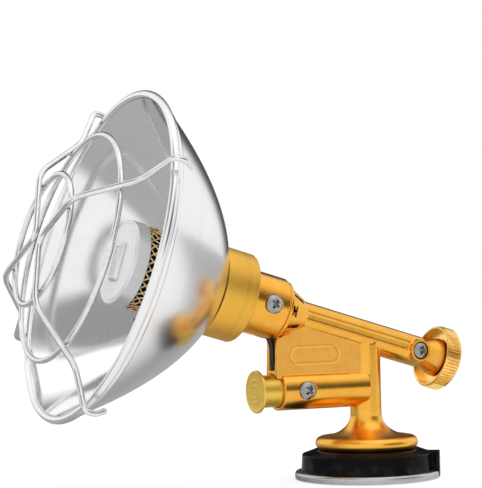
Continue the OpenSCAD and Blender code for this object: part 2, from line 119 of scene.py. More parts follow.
def block(low, high, edge=0.0):
    """A bar between two corners with its edges broken by the given width."""
    bpy.ops.object.select_all(action="DESELECT")
    bpy.ops.mesh.primitive_cube_add(size=1, location=[(a + b) / 2 for a, b in zip(low, high)],
                                    scale=[b - a for a, b in zip(low, high)])
    piece = bpy.context.object
    bpy.ops.object.transform_apply(location=True, rotation=True, scale=True)
    if edge:
        bpy.ops.object.mode_set(mode="EDIT")
        bpy.ops.mesh.select_all(action="SELECT")
        bpy.ops.mesh.bevel(offset=edge, segments=3, affect="EDGES")
        bpy.ops.object.mode_set(mode="OBJECT")
    return piece


def moved(piece, place):
    """Moves a piece's mesh by a matrix."""
    alone(piece)
    piece.matrix_world = place @ piece.matrix_world
    bpy.ops.object.transform_apply(location=True, rotation=True, scale=True)
    return piece


def about_z(angle):
    return Matrix.Rotation(angle, 4, "Z")


def settle(piece, name, place=Matrix.Identity(4), crease=38):
    """Names a finished piece, brings it from millimetres to metres and shades its round faces smooth."""
    piece.name = piece.data.name = name
    moved(piece, Matrix.Scale(0.001, 4) @ place)
    bpy.ops.object.shade_smooth_by_angle(angle=radians(crease))
    return piece


def dress(piece, material, body="head", replaces=()):
    """Gives a piece its finish, the body it rides on and the CAD nodes that it stands for."""
    piece.data.materials.clear()
    piece.data.materials.append(material)
    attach(piece, body)
    if replaces:
        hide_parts(*replaces)


def add(tree, kind, values=None, **settings):
    """Adds a shader node; a value is a number, a colour or another node's output."""
    node = tree.nodes.new(kind)
    for name, value in settings.items():
        setattr(node, name, value)
    for socket, value in (values or {}).items():
        if isinstance(value, bpy.types.NodeSocket):
            tree.links.new(value, node.inputs[socket])
        else:
            node.inputs[socket].default_value = value
    return node


def math(tree, operation, a, b=0.0, clamp=False):
    """A number worked out from one or two others."""
    return add(tree, "ShaderNodeMath", {0: a, 1: b}, operation=operation, use_clamp=clamp).outputs[0]


def vector_math(tree, operation, a, b=(0, 0, 0)):
    """A vector worked out from one or two others, or a number where the operation gives one."""
    node = add(tree, "ShaderNodeVectorMath", {0: a, 1: b}, operation=operation)
    return node.outputs["Value" if operation in ("DOT_PRODUCT", "LENGTH") else "Vector"]


def noise(tree, place, scale, detail):
    """Soft noise between 0 and 1 over a place in space."""
    return add(tree, "ShaderNodeTexNoise", {"Vector": place, "Scale": scale, "Detail": detail}).outputs[0]


def object_place(tree):
    """Where a point of the piece lies, in metres."""
    return add(tree, "ShaderNodeTexCoord").outputs["Object"]


def new_group(name, inputs, outputs):
    """An empty shader group with these sockets, and its input and output nodes."""
    tree = bpy.data.node_groups.new(name, "ShaderNodeTree")
    for label, kind, value in inputs:
        tree.interface.new_socket(label, in_out="INPUT", socket_type=kind).default_value = value
    for label in outputs:
        tree.interface.new_socket(label, in_out="OUTPUT", socket_type="NodeSocketFloat")
    return tree, tree.nodes.new("NodeGroupInput").outputs, tree.nodes.new("NodeGroupOutput")


def lathe_lines_group():
    """Fine lines that run round an axis, as turning, brushing or spinning leaves them."""
    tree, given, made = new_group(
        "lathe lines",
        [("Centre", "NodeSocketVector", (0, 0, 0)), ("Axis", "NodeSocketVector", (0, 0, 1)),
         ("Fineness", "NodeSocketFloat", 6000.0), ("Broadness", "NodeSocketFloat", 500.0)],
        ["Tone", "Height"],
    )
    place = object_place(tree)
    arm = vector_math(tree, "SUBTRACT", place, given["Centre"])
    along = vector_math(tree, "DOT_PRODUCT", arm, given["Axis"])
    out = vector_math(tree, "LENGTH", vector_math(tree, "CROSS_PRODUCT", arm, given["Axis"]))
    lines = add(tree, "ShaderNodeCombineXYZ", {"X": along, "Y": out}).outputs[0]
    fine = noise(tree, lines, given["Fineness"], 3.0)
    broad = noise(tree, lines, given["Broadness"], 2.0)
    patchy = noise(tree, place, 260.0, 3.0)
    tone = math(tree, "ADD", math(tree, "MULTIPLY", fine, 0.45), math(tree, "MULTIPLY", broad, 0.4))
    tone = math(tree, "ADD", tone, math(tree, "MULTIPLY", patchy, 0.15))
    tree.links.new(tone, made.inputs["Tone"])
    tree.links.new(fine, made.inputs["Height"])
    return tree


def cast_grain_group():
    """Fine grain over soft unevenness, as on a blasted or polished casting or a moulded face."""
    tree, given, made = new_group("cast grain", [("Grain", "NodeSocketFloat", 2600.0)], ["Tone", "Height"])
    place = object_place(tree)
    fine = noise(tree, place, given["Grain"], 4.0)
    swell = noise(tree, place, 190.0, 3.0)
    tone = math(tree, "ADD", math(tree, "MULTIPLY", fine, 0.35), math(tree, "MULTIPLY", swell, 0.65))
    tree.links.new(tone, made.inputs["Tone"])
    tree.links.new(fine, made.inputs["Height"])
    return tree


def edge_wear_and_sheen_group():
    """A mask of outer edges, broken up where hands and tools rub them; it lightens the colour there, partly
    as wear and partly as a painted edge highlight.
    """
    tree, given, made = new_group("edge wear and sheen", [("Reach", "NodeSocketFloat", 0.04)], ["Mask"])
    least_sharp = 0.54
    sharp = add(tree, "ShaderNodeNewGeometry").outputs["Pointiness"]
    rubbed = noise(tree, object_place(tree), 420.0, 4.0)
    lift = math(tree, "DIVIDE", math(tree, "SUBTRACT", sharp, least_sharp), given["Reach"], clamp=True)
    mask = math(tree, "MULTIPLY", lift, math(tree, "MULTIPLY", rubbed, 1.6), clamp=True)
    tree.links.new(mask, made.inputs["Mask"])
    return tree


lathe_lines = lathe_lines_group()
cast_grain = cast_grain_group()
edge_wear_and_sheen = edge_wear_and_sheen_group()


def surface(name, colours, rough, metallic, pattern, values, relief, wear_and_sheen=0.0, **constants):
    """A finish whose colour runs over three tones, and its roughness between two values, with a pattern;
    outer edges are lightened, partly as wear and partly as a painted highlight.
    """
    material = bpy.data.materials.new(name)
    material.use_nodes = True
    tree = material.node_tree
    shader = tree.nodes["Principled BSDF"]
    grain = add(tree, "ShaderNodeGroup", node_tree=pattern)
    for socket, value in values.items():
        grain.inputs[socket].default_value = value
    tone = grain.outputs["Tone"]
    # Painted edge highlight and wear: the edge mask lifts the tone towards the lightest colour.
    if wear_and_sheen:
        mask = add(tree, "ShaderNodeGroup", node_tree=edge_wear_and_sheen).outputs["Mask"]
        tone = math(tree, "ADD", tone, math(tree, "MULTIPLY", mask, wear_and_sheen), clamp=True)
    ramp = add(tree, "ShaderNodeValToRGB", {"Fac": tone})
    ramp.color_ramp.elements[0].position = 0.3
    ramp.color_ramp.elements[0].color = (*colours[0], 1)
    ramp.color_ramp.elements[1].position = 1.0
    ramp.color_ramp.elements[1].color = (*colours[2], 1)
    middle = ramp.color_ramp.elements.new(0.6)
    middle.color = (*colours[1], 1)
    tree.links.new(ramp.outputs["Color"], shader.inputs["Base Color"])
    spread = add(tree, "ShaderNodeMapRange", {
        "Value": grain.outputs["Tone"], "From Min": 0.3, "From Max": 0.7,
        "To Min": rough[0], "To Max": rough[1],
    })
    tree.links.new(spread.outputs[0], shader.inputs["Roughness"])
    bump = add(tree, "ShaderNodeBump", {
        "Height": grain.outputs["Height"], "Strength": relief[0], "Distance": relief[1],
    })
    tree.links.new(bump.outputs["Normal"], shader.inputs["Normal"])
    shader.inputs["Metallic"].default_value = metallic
    for socket, value in constants.items():
        shader.inputs[socket.replace("_", " ")].default_value = value
    return material


plate_steel = surface(
    "plate steel", [(0.36, 0.36, 0.37), (0.55, 0.55, 0.56), (0.72, 0.72, 0.73)], (0.2, 0.36), 1.0,
    lathe_lines, {"Fineness": 9000.0, "Broadness": 1400.0}, (0.15, 0.00006), wear_and_sheen=0.3,
)
plate = turned(
    [(plate_bore, 0), (plate_r - 0.5, 0)]
    + arc(plate_r - 0.5, 0.5, 0.5, -90, 0, 4)
    + arc(plate_r - 1.3, plate_top - 1.3, 1.3, 0, 90, 8)
    + [(plate_bore, plate_top)],
    192,
)
for number in range(3):
    lug = moved(block((17, -4, 0), (21, 4, 2)), about_z(pi / 2 + number * 2 * pi / 3))
    combine(plate, lug, "UNION")
soften(plate, 0.15, 2, 50)
dress(settle(plate, "lock_plate_pressing"), plate_steel, replaces=["lock_plate"])


# ---- adapter ring ----
# Moulded black nylon ring between the foot and the cartridge. Its grip lug has a sunk pocket on each side
# and an outer wall that reaches down over the plate's edge. Screws hold the plate and the foot to it.

ring_r = -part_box("adapter_ring")[0].x * 1000
ring_low = plate_top + 0.05
ring_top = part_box("adapter_ring")[1].z * 1000
cup_r = 17
cup_top = 9.2
lug_turn = radians(-35)
lug_half = 4.4
lug_wall = 1.4
lug_top = plate_high.z
pocket_start = 26

black_nylon = surface(
    "black nylon", [(0.003, 0.003, 0.0032), (0.005, 0.005, 0.0055), (0.06, 0.06, 0.062)], (0.14, 0.22), 0.0,
    cast_grain, {"Grain": 3200.0}, (0.06, 0.00003), wear_and_sheen=0.12, Specular_IOR_Level=0.05,
)
adapter = turned(
    [(6, cup_top), (cup_r, cup_top), (cup_r, ring_low), (ring_r - 0.15, ring_low), (ring_r, ring_low + 0.2),
     (ring_r - 0.4, 10.2)]
    + arc(ring_r - 1.2, 10.25, 0.8, 5, 65, 4)
    + [(24.2, ring_top - 0.15), (23.9, ring_top), (6, ring_top)],
    192,
)
grip = block((25, -lug_half, ring_low + 0.35), (plate_r, lug_half, lug_top), 0.4)
combine(grip, block((plate_r - lug_wall, -4, 0.6), (plate_r, 4, 8), 0.3), "UNION")
for pocket_y in (-4, 4):
    pocket_low = (pocket_start, pocket_y - 1.4, ring_low + 1)
    pocket_high = (plate_r - lug_wall, pocket_y + 1.4, lug_top - 1.2)
    combine(grip, block(pocket_low, pocket_high), "DIFFERENCE")
combine(adapter, moved(grip, about_z(lug_turn)), "UNION")
for number in range(3):
    for reach, hole_r, low, high, start in [(14, 1.7, 8, 14, pi / 2), (23.5, 1.5, 3, 9, pi / 6)]:
        hole = turned([(0, low), (hole_r, low), (hole_r, high), (0, high)], 24)
        place = about_z(start + number * 2 * pi / 3) @ Matrix.Translation((reach, 0, 0))
        combine(adapter, moved(hole, place), "DIFFERENCE")
soften(adapter, 0.12, 2, 45)
dress(settle(adapter, "adapter_ring_moulding"), black_nylon, replaces=["adapter_ring"])


# ---- screws and cartridge inlet ----
# Plated steel screws under the ring, the rubber seal that meets the cartridge valve, and the brass inlet that
# opens it. These keep their CAD shape and get their finish here.

screw_steel = surface(
    "screw steel", [(0.42, 0.42, 0.42), (0.66, 0.66, 0.66), (0.86, 0.86, 0.87)], (0.1, 0.24), 1.0,
    cast_grain, {"Grain": 2200.0}, (0.1, 0.00004), wear_and_sheen=0.3,
)
rubber = surface(
    "seal rubber", [(0.012, 0.012, 0.012), (0.02, 0.02, 0.02), (0.04, 0.04, 0.04)], (0.55, 0.75), 0.0,
    cast_grain, {"Grain": 1800.0}, (0.3, 0.0001),
)
brass = surface(
    "turned brass", [(0.42, 0.26, 0.07), (0.66, 0.44, 0.14), (0.8, 0.6, 0.28)], (0.2, 0.36), 1.0,
    lathe_lines, {"Fineness": 7000.0, "Broadness": 1500.0}, (0.15, 0.00005),
)
copper = surface(
    "drawn copper", [(0.5, 0.2, 0.1), (0.72, 0.33, 0.18), (0.85, 0.5, 0.33)], (0.22, 0.4), 1.0,
    cast_grain, {"Grain": 1500.0}, (0.12, 0.00005),
)


def finish(material, *names):
    """Gives CAD nodes their finish."""
    for name in names:
        nodes[name].data.materials.clear()
        nodes[name].data.materials.append(material)


finish(screw_steel, "lock_screws", "foot_screws")
finish(rubber, "can_seal", "spindle_seal")
finish(brass, "inlet_probe", "gland_nut", "needle_spindle", "jet_holder", "jet_nozzle")
finish(copper, "gas_riser", "gas_tube")


# ---- foot ----
# Polished gold foot, turned from a casting: a flange with a full round edge that sweeps up into the column,
# and a thin lip that hides the joint. Its underside is screwed to the adapter ring.

foot_low, foot_high = [corner.z * 1000 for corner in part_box("pillar_foot")]
foot_r = -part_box("pillar_foot")[0].x * 1000
column_r = 7
flange = 5.9
edge_r = flange / 2
sweep, sweep_out = 9.4, 13.5
lip = 0.06
riser_bore, spigot_bore, spigot_step = 3.6, 5.25, 18.7

gold_polished = surface(
    "polished gold", [(0.92, 0.44, 0.052), (0.97, 0.51, 0.075), (1.0, 0.7, 0.27)], (0.28, 0.34), 1.0,
    cast_grain, {"Grain": 2400.0}, (0.06, 0.00005), wear_and_sheen=0.2,
)
swept = [
    (column_r + sweep_out * (1 - sin(radians(a))), foot_low + flange + sweep * (1 - cos(radians(a))))
    for a in range(6, 91, 6)
]
foot = turned(
    [(riser_bore, foot_low)]
    + arc(foot_r - edge_r, foot_low + edge_r, edge_r, -90, 84, 18)
    + swept
    + [(column_r + lip, foot_high + 0.3), (column_r - lip, foot_high + 2.4), (column_r - 2 * lip, foot_high),
       (spigot_bore, foot_high), (spigot_bore, spigot_step), (riser_bore, spigot_step)],
    160,
)
dress(settle(foot, "foot_casting", crease=50), gold_polished, replaces=["pillar_foot"])


# ---- valve body and gas ways ----
# The valve body fills the rear of the barrel, and its turned gold stem flares out into the knob. The head
# axis, which the barrel, the bowl and the knob share, is the knob's hinge axis.

hinge = next(joint for joint in frame["joints"] if joint["name"] == "knob_turn")
head_axis = Vector(hinge["axis"]).normalized()
hinge_point = Vector(hinge["pos_m"])
axis_foot = hinge_point - head_axis * (hinge_point.x / head_axis.x)
tilt = asin(head_axis.z)
head = Matrix.Translation(axis_foot * 1000) @ Matrix.Rotation(tilt - pi / 2, 4, "Y")


def along_head(node):
    """A CAD node's lowest and highest place along the head axis, and its radius about it, in millimetres."""
    points = [head.inverted() @ (v.co * 1000) for v in nodes[node].data.vertices]
    return min(p.z for p in points), max(p.z for p in points), max(hypot(p.x, p.y) for p in points)


def on_axis_lines(fineness, broadness):
    """Pattern values for a piece that was turned on the head axis."""
    return {"Centre": axis_foot, "Axis": head_axis, "Fineness": fineness, "Broadness": broadness}


gold_stem = surface(
    "turned gold", [(0.7, 0.32, 0.04), (0.87, 0.44, 0.07), (0.95, 0.62, 0.18)], (0.2, 0.32), 1.0,
    lathe_lines, on_axis_lines(5200.0, 900.0), (0.15, 0.00005),
)
stem_low, valve_high, stem_r = along_head("valve_body")
flare_r = 8.8
barrel_end = -29
valve_r = 4.85
gland_bore, spindle_bore, seat_bore, outlet_bore = 3.6, 2.25, 0.8, 2.05
gland_floor, seat_low, seat_high = -34, 2, 4
valve = turned(
    [(gland_bore, stem_low), (flare_r - 0.5, stem_low), (flare_r - 0.1, stem_low + 0.35),
     (stem_r - 0.05, barrel_end - 1.8), (stem_r - 0.6, barrel_end - 1.1), (stem_r - 0.6, barrel_end - 0.4),
     (valve_r, barrel_end - 0.3), (valve_r, valve_high), (outlet_bore, valve_high), (outlet_bore, seat_high),
     (seat_bore, seat_high), (seat_bore, seat_low), (spindle_bore, seat_low), (spindle_bore, gland_floor),
     (gland_bore, gland_floor)],
    96,
)
dress(settle(valve, "valve_body_turning", head), gold_stem, replaces=["valve_body"])


# ---- igniter ----
# Piezo unit at the end of the igniter tube, its return spring and its push rod; all are hidden while the
# button is fitted, and keep their CAD shape.

igniter_black = surface(
    "igniter plastic", [(0.02, 0.02, 0.022), (0.035, 0.035, 0.038), (0.07, 0.07, 0.075)], (0.35, 0.5), 0.0,
    cast_grain, {"Grain": 2600.0}, (0.2, 0.00006),
)
rod_white = surface(
    "push rod plastic", [(0.62, 0.62, 0.6), (0.74, 0.74, 0.72), (0.82, 0.82, 0.8)], (0.3, 0.45), 0.0,
    cast_grain, {"Grain": 2200.0}, (0.15, 0.00005),
)
spring_steel = surface(
    "spring steel", [(0.3, 0.3, 0.31), (0.5, 0.5, 0.51), (0.7, 0.7, 0.71)], (0.18, 0.34), 1.0,
    cast_grain, {"Grain": 1900.0}, (0.12, 0.00005),
)
finish(igniter_black, "igniter_case")
finish(rod_white, "igniter_plunger")
finish(spring_steel, "button_spring")


# ---- igniter lead ----
# Black silicone lead, held at both ends: from the piezo unit up through the housing wall's hollow and the
# neck to the ceramic behind the bowl.

lead_d = 2.4


def rounded(corners, cuts, steps=8):
    """The line through the corners with each inner corner rounded, starting the given distance before it."""
    corners = [Vector(c) for c in corners]
    line = [corners[0]]
    for before, corner, after, cut in zip(corners, corners[1:], corners[2:], cuts):
        a = corner + (before - corner).normalized() * cut
        c = corner + (after - corner).normalized() * cut
        for k in range(steps + 1):
            t = k / steps
            line.append((1 - t) ** 2 * a + 2 * t * (1 - t) * corner + t * t * c)
    return line + [corners[-1]]


def wire(points, diameter, closed=False, sides=16, round_ends=False):
    """Round wire along a line of points."""
    bpy.ops.object.select_all(action="DESELECT")
    bpy.ops.curve.primitive_nurbs_path_add()
    piece = bpy.context.object
    curve = piece.data
    curve.splines.remove(curve.splines[0])
    line = curve.splines.new("POLY")
    line.points.add(len(points) - 1)
    for spot, point in zip(line.points, points):
        spot.co = (*point, 1)
    line.use_cyclic_u = closed
    curve.dimensions = "3D"
    curve.bevel_depth = diameter / 2
    curve.bevel_resolution = (sides - 4) // 2
    curve.use_fill_caps = not closed
    bpy.ops.object.convert(target="MESH")
    piece = bpy.context.object
    bpy.ops.object.mode_set(mode="EDIT")
    bpy.ops.mesh.select_all(action="SELECT")
    bpy.ops.mesh.remove_doubles(threshold=0.001)
    bpy.ops.mesh.normals_make_consistent(inside=False)
    bpy.ops.object.mode_set(mode="OBJECT")
    if round_ends:
        soften(piece, diameter * 0.3, 3, 60)
    return piece


def head_point(height, s):
    """The point at a height over the head axis and a distance s along it."""
    return head @ Vector((height, 0, s))


lead_rubber = surface(
    "lead silicone", [(0.01, 0.01, 0.01), (0.018, 0.018, 0.018), (0.04, 0.04, 0.04)], (0.38, 0.52), 0.0,
    cast_grain, {"Grain": 1400.0}, (0.2, 0.00008),
)
lead_route = [(-14, 0, 43), (-14, 0, 50.7), (-46.3, 0, 50.7), (-46.4, 0, 60), head_point(-9.1, 49.6),
              head_point(-8.6, 68.2), head_point(-15, 70.8), head_point(-15, 73.5)]
lead = wire(rounded(lead_route, [2.5, 2, 2, 3, 3, 2]), lead_d)
dress(settle(lead, "igniter_lead"), lead_rubber, replaces=["hv_lead"])


# ---- body shells ----
# Two die-cast halves, screwed together down the middle: neck, air intake, barrel, housing wall, igniter tube
# and column in one. Cast edges are soft, and each wall is matt, with the sunk outline of a plain panel.

panel_middle = (-27.9, 55.8)
panel_half_long, panel_half_high = 12.1, 3.7
groove_half = 0.75
groove_deep = 0.42
wall_face = 5.0
blasted_rough, blasted_dull = 0.55, 0.75
most_faces = 90000
grid = 0.26

gold_cast = surface(
    "cast gold", [(0.84, 0.4, 0.05), (0.92, 0.465, 0.07), (1.0, 0.7, 0.27)], (0.2, 0.25), 1.0,
    cast_grain, {"Grain": 2600.0}, (0.08, 0.00003), wear_and_sheen=0.2,
)


def blast_walls(material):
    """Makes the housing's flat walls matt: what lies near the middle plane and faces straight out."""
    tree = material.node_tree
    place_y = add(tree, "ShaderNodeSeparateXYZ", {0: object_place(tree)}).outputs["Y"]
    normal = add(tree, "ShaderNodeNewGeometry").outputs["Normal"]
    normal_y = add(tree, "ShaderNodeSeparateXYZ", {0: normal}).outputs["Y"]
    on_wall = math(tree, "LESS_THAN", math(tree, "ABSOLUTE", place_y), (wall_face + 0.15) / 1000)
    square_on = math(tree, "GREATER_THAN", math(tree, "ABSOLUTE", normal_y), 0.93)
    blasted = math(tree, "MULTIPLY", on_wall, square_on)
    shader = tree.nodes["Principled BSDF"]
    polished = shader.inputs["Roughness"].links[0].from_socket
    rough = add(tree, "ShaderNodeMix", {0: blasted, 2: polished, 3: blasted_rough}).outputs[0]
    tree.links.new(rough, shader.inputs["Roughness"])
    metal = math(tree, "SUBTRACT", 1.0, math(tree, "MULTIPLY", blasted, blasted_dull))
    tree.links.new(metal, shader.inputs["Metallic"])


blast_walls(gold_cast)


def smooth_step(t):
    """An even rise from 0 to 1 with a soft start and end."""
    t = min(max(t, 0.0), 1.0)
    return t * t * (3 - 2 * t)


def shell(node, name):
    """A cast half: the CAD half with its edges melted soft, and the outline pressed into its wall."""
    piece = bpy.data.objects.new(name, nodes[node].data.copy())
    bpy.context.scene.collection.objects.link(piece)
    moved(piece, Matrix.Scale(1000, 4))
    bpy.ops.object.mode_set(mode="EDIT")
    bpy.ops.mesh.select_all(action="SELECT")
    bpy.ops.mesh.remove_doubles(threshold=0.002)
    bpy.ops.object.mode_set(mode="OBJECT")
    apply(piece, "REMESH", mode="VOXEL", voxel_size=grid, use_smooth_shade=True)
    apply(piece, "SMOOTH", factor=0.5, iterations=6)
    straight = panel_half_long - panel_half_high
    for vertex in piece.data.vertices:
        x, y, z = vertex.co
        beyond = max(abs(x - panel_middle[0]) - straight, 0)
        off = abs(hypot(beyond, z - panel_middle[1]) - panel_half_high)
        if off < groove_half and abs(abs(y) - wall_face) < 0.3:
            vertex.co.y -= (1 if y > 0 else -1) * groove_deep * smooth_step((groove_half - off) / 0.5)
    if len(piece.data.polygons) > most_faces:
        apply(piece, "DECIMATE", ratio=most_faces / len(piece.data.polygons))
    return settle(piece, name, crease=180)


for half, side in [("near", "body_shell_near"), ("far", "body_shell_far")]:
    dress(shell(side, "cast_half_" + half), gold_cast, replaces=[side])


# ---- shell screws ----
# Nickel-plated pan-head screws with a cross recess: in the neck, the rear boss and the igniter tube, on both
# sides. The one in the tube also stops the button.

neck_seat, boss_seat, tube_seat = 13.25, 7.2, 7.75
screw_gap = 0.05
tube_z = 40.4

screw_nickel = surface(
    "screw nickel", [(0.24, 0.24, 0.23), (0.38, 0.38, 0.37), (0.85, 0.85, 0.85)], (0.03, 0.08), 1.0,
    cast_grain, {"Grain": 1500.0}, (0.06, 0.00003), wear_and_sheen=0.2,
)


def pan_screw(head_r, dome, length):
    """A cross-head screw that points down from its seat at height 0."""
    ball_r = 1.45 * head_r
    edge = dome - ball_r + sqrt(ball_r ** 2 - (head_r - 0.25) ** 2)
    crown = [
        (ball_r * sin(a), dome - ball_r + ball_r * cos(a))
        for a in [asin((head_r - 0.25) / ball_r) * k / 9 for k in range(10)]
    ]
    screw = turned(
        crown
        + [(head_r - 0.06, edge - 0.2), (head_r, edge - 0.45), (head_r, 0.2), (head_r - 0.15, 0), (1.6, 0),
           (1.6, -length + 0.5), (1.2, -length), (0, -length)],
        64,
    )
    for quarter in range(2):
        arm = block((-head_r * 0.68, -0.68, dome - 1.8), (head_r * 0.68, 0.68, dome + 1))
        alone(arm)
        bpy.ops.object.mode_set(mode="EDIT")
        bpy.ops.mesh.select_all(action="DESELECT")
        bpy.ops.object.mode_set(mode="OBJECT")
        for corner in arm.data.vertices:
            corner.select = corner.co.z < dome
        bpy.ops.object.mode_set(mode="EDIT")
        bpy.ops.transform.resize(value=(0.55, 0.6, 1))
        bpy.ops.object.mode_set(mode="OBJECT")
        combine(screw, moved(arm, about_z(quarter * pi / 2)), "DIFFERENCE")
    for quarter in range(2):
        tick = block((-head_r * 0.5, -0.16, dome - 0.6), (head_r * 0.5, 0.16, dome + 1))
        combine(screw, moved(tick, about_z(pi / 4 + quarter * pi / 2)), "DIFFERENCE")
    return soften(screw, 0.06, 2, 40)


def facing(side, turn):
    """Points a screw out of the near side, -1, or the far side, 1, after turning it about its own axis."""
    return Matrix.Rotation(-side * pi / 2, 4, "X") @ about_z(turn)


neck_screw = pan_screw(4, 2.4, 2.7)
boss_screw = pan_screw(3.6, 2.4, 4.2)
stations = [
    ("neck_screw", neck_screw, neck_seat, head, (0, 54), 0.6),
    ("boss_screw", boss_screw, boss_seat, head, (0, -25.5), 1.0),
    ("tube_screw", neck_screw, tube_seat, Matrix.Identity(4), (-33.5, tube_z), 0.25),
]
for label, pattern_screw, seat, base, (x, z), turn in stations:
    for side, word in [(-1, "near"), (1, "far")]:
        screw = pattern_screw.copy()
        screw.data = pattern_screw.data.copy()
        bpy.context.scene.collection.objects.link(screw)
        seat_place = Matrix.Translation((x, side * (seat + screw_gap), z))
        settle(screw, label + "_" + word, base @ seat_place @ facing(side, turn + side))
        dress(screw, screw_nickel, replaces=["shell_screws"])
bpy.data.objects.remove(neck_screw)
bpy.data.objects.remove(boss_screw)


# ---- push button ----
# Pale gold turned button: a thin round head on a hollow sleeve that slides in the igniter tube. Two plain
# raised rings decorate its face, and a slot on each side clears the stop screws.

button_front = -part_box("push_button")[0].x * 1000
button_r = -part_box("push_button")[0].y * 1000
sleeve_r, sleeve_bore = 7, 5.6
sleeve_end = 29
spring_seat = 52
to_tube = Matrix.Translation((0, 0, tube_z)) @ Matrix.Rotation(-pi / 2, 4, "Y")

button_lines = {"Centre": (0, 0, tube_z / 1000), "Axis": (1, 0, 0), "Fineness": 4200.0, "Broadness": 1100.0}
gold_button = surface(
    "button gold", [(0.88, 0.55, 0.08), (0.95, 0.65, 0.125), (1.0, 0.8, 0.3)], (0.34, 0.46), 0.9,
    lathe_lines, button_lines, (0.2, 0.00006), wear_and_sheen=0.2,
)


def raised_ring(middle, half, base, height):
    """The outline of a low rounded ring on a face, from its inner foot to its outer foot."""
    return [(middle + half * cos(radians(a)), base + height * sin(radians(a))) for a in range(180, -1, -30)]


face = button_front - 0.2
button = turned(
    [(0, face)]
    + raised_ring(2.6, 0.5, face, 0.2)
    + raised_ring(5.0, 0.5, face, 0.2)
    + [(7.6, face), (8.3, face + 0.1)]
    + arc(button_r - 0.45, button_front - 0.45, 0.45, 90, 0, 4)
    + arc(button_r - 0.3, button_front - 1.0, 0.3, 0, -90, 3)
    + [(sleeve_r + 0.5, button_front - 1.3)]
    + arc(sleeve_r + 0.5, button_front - 1.8, 0.5, 90, 180, 3)
    + [(sleeve_r, sleeve_end + 0.3), (sleeve_r - 0.3, sleeve_end), (sleeve_bore, sleeve_end),
       (sleeve_bore, spring_seat), (0, spring_seat)],
    96,
)
slot = block((-1.95, -20, 31.55), (1.95, 20, 41.95))
combine(button, slot, "DIFFERENCE")
dress(settle(button, "button_turning", to_tube), gold_button, "button", ["push_button"])


# ---- control knob ----
# Gold knob with a straight knurl, hollow and open towards the body, turned with the brass needle on its
# spindle. Its floor is a cone, and one screw holds it on from behind.

knob_back, knob_open, knob_r = along_head("control_knob")
rib_count = 60
rib_deep = 0.8
rib_share = 0.45
spindle_hole_r = 2.25

gold_knob = surface(
    "knob gold", [(0.7, 0.29, 0.03), (0.85, 0.41, 0.055), (1.0, 0.7, 0.24)], (0.22, 0.32), 1.0,
    lathe_lines, on_axis_lines(4800.0, 900.0), (0.06, 0.00003), wear_and_sheen=0.6,
)
bpy.ops.object.select_all(action="DESELECT")
bpy.ops.mesh.primitive_cylinder_add(vertices=rib_count * 4, radius=knob_r, depth=knob_open - knob_back - 2.2,
                                    location=(0, 0, (knob_open + knob_back) / 2 + 0.1))
knob = bpy.context.object
bpy.ops.object.transform_apply(location=True, rotation=True, scale=True)
bpy.ops.object.mode_set(mode="EDIT")
bpy.ops.mesh.select_all(action="DESELECT")
bpy.ops.object.mode_set(mode="OBJECT")
for vertex in knob.data.vertices:
    share = (Vector((vertex.co.x, vertex.co.y)).angle_signed(Vector((1, 0.001))) / (2 * pi) * rib_count) % 1
    vertex.select = share > rib_share
bpy.ops.object.mode_set(mode="EDIT")
groove_share = 1 - rib_deep / knob_r
bpy.ops.transform.resize(value=(groove_share, groove_share, 1), center_override=(0, 0, 0))
bpy.ops.object.mode_set(mode="OBJECT")
smooth_r = knob_r - rib_deep - 0.1
core = turned(
    [(0, knob_back), (smooth_r - 0.9, knob_back)]
    + arc(smooth_r - 0.9, knob_back + 0.9, 0.9, -90, 0, 5)
    + arc(smooth_r + 0.3 - 0.4, knob_open - 0.4, 0.4, 0, 90, 4)
    + [(0, knob_open)],
    144,
)
combine(knob, core, "UNION")
hollow = turned(
    [(0, stem_low - 0.7), (flare_r + 0.7, stem_low - 0.7), (flare_r + 0.8, knob_open - 3.2),
     (knob_r - 1.7, knob_open - 3.3), (knob_r - 1.6, knob_open - 0.3), (knob_r - 1.2, knob_open + 0.1),
     (knob_r - 1.2, knob_open + 2), (0, knob_open + 2)],
    144,
)
combine(knob, hollow, "DIFFERENCE")
bore = turned(
    [(0, knob_back - 2), (spindle_hole_r, knob_back - 2), (spindle_hole_r, knob_open), (0, knob_open)], 32,
)
combine(knob, bore, "DIFFERENCE")
soften(knob, 0.08, 2, 25)
dress(settle(knob, "knob_turning", head, 30), gold_knob, "knob", ["control_knob"])

screw_back = along_head("knob_screw")[0]
knob_fixing = pan_screw(3.9, knob_back - screw_back - 0.05, 0.9)
fixing_place = head @ Matrix.Translation((0, 0, knob_back - 0.05)) @ Matrix.Rotation(pi, 4, "X")
settle(knob_fixing, "knob_fixing_screw", fixing_place)
dress(knob_fixing, screw_nickel, "knob", ["knob_screw"])


# ---- head collar ----
# Brushed brass-gold sleeve behind the bowl, rolled from tube, with a spigot that plugs into the neck.

collar_front, collar_r = along_head("head_collar")[1:]
collar_back = 64.6
spigot_end = along_head("head_collar")[0]

gold_collar = surface(
    "collar gold", [(0.74, 0.39, 0.045), (0.86, 0.49, 0.075), (0.98, 0.66, 0.2)], (0.38, 0.5), 0.9,
    lathe_lines, on_axis_lines(3600.0, 420.0), (0.16, 0.00006), wear_and_sheen=0.2, Specular_IOR_Level=0.3,
)
collar = turned(
    [(10.3, spigot_end), (11.35, spigot_end), (11.4, collar_back), (collar_r - 0.8, collar_back)]
    + arc(collar_r - 0.8, collar_back + 0.8, 0.8, -90, 0, 5)
    + [(collar_r, collar_front - 0.25), (collar_r - 0.25, collar_front), (collar_r - 1.5, collar_front),
       (collar_r - 1.5, collar_back + 1.8), (10.3, collar_back + 1.8)],
    160,
)
dress(settle(collar, "collar_sleeve", head), gold_collar, replaces=["head_collar"])


# ---- throat tube and its fixings ----
# Steel throat tube that carries gas and air to the burner, the disc that centres it in the collar, and the
# thin hexagon nut that clamps the bowl against the tube's shoulder.

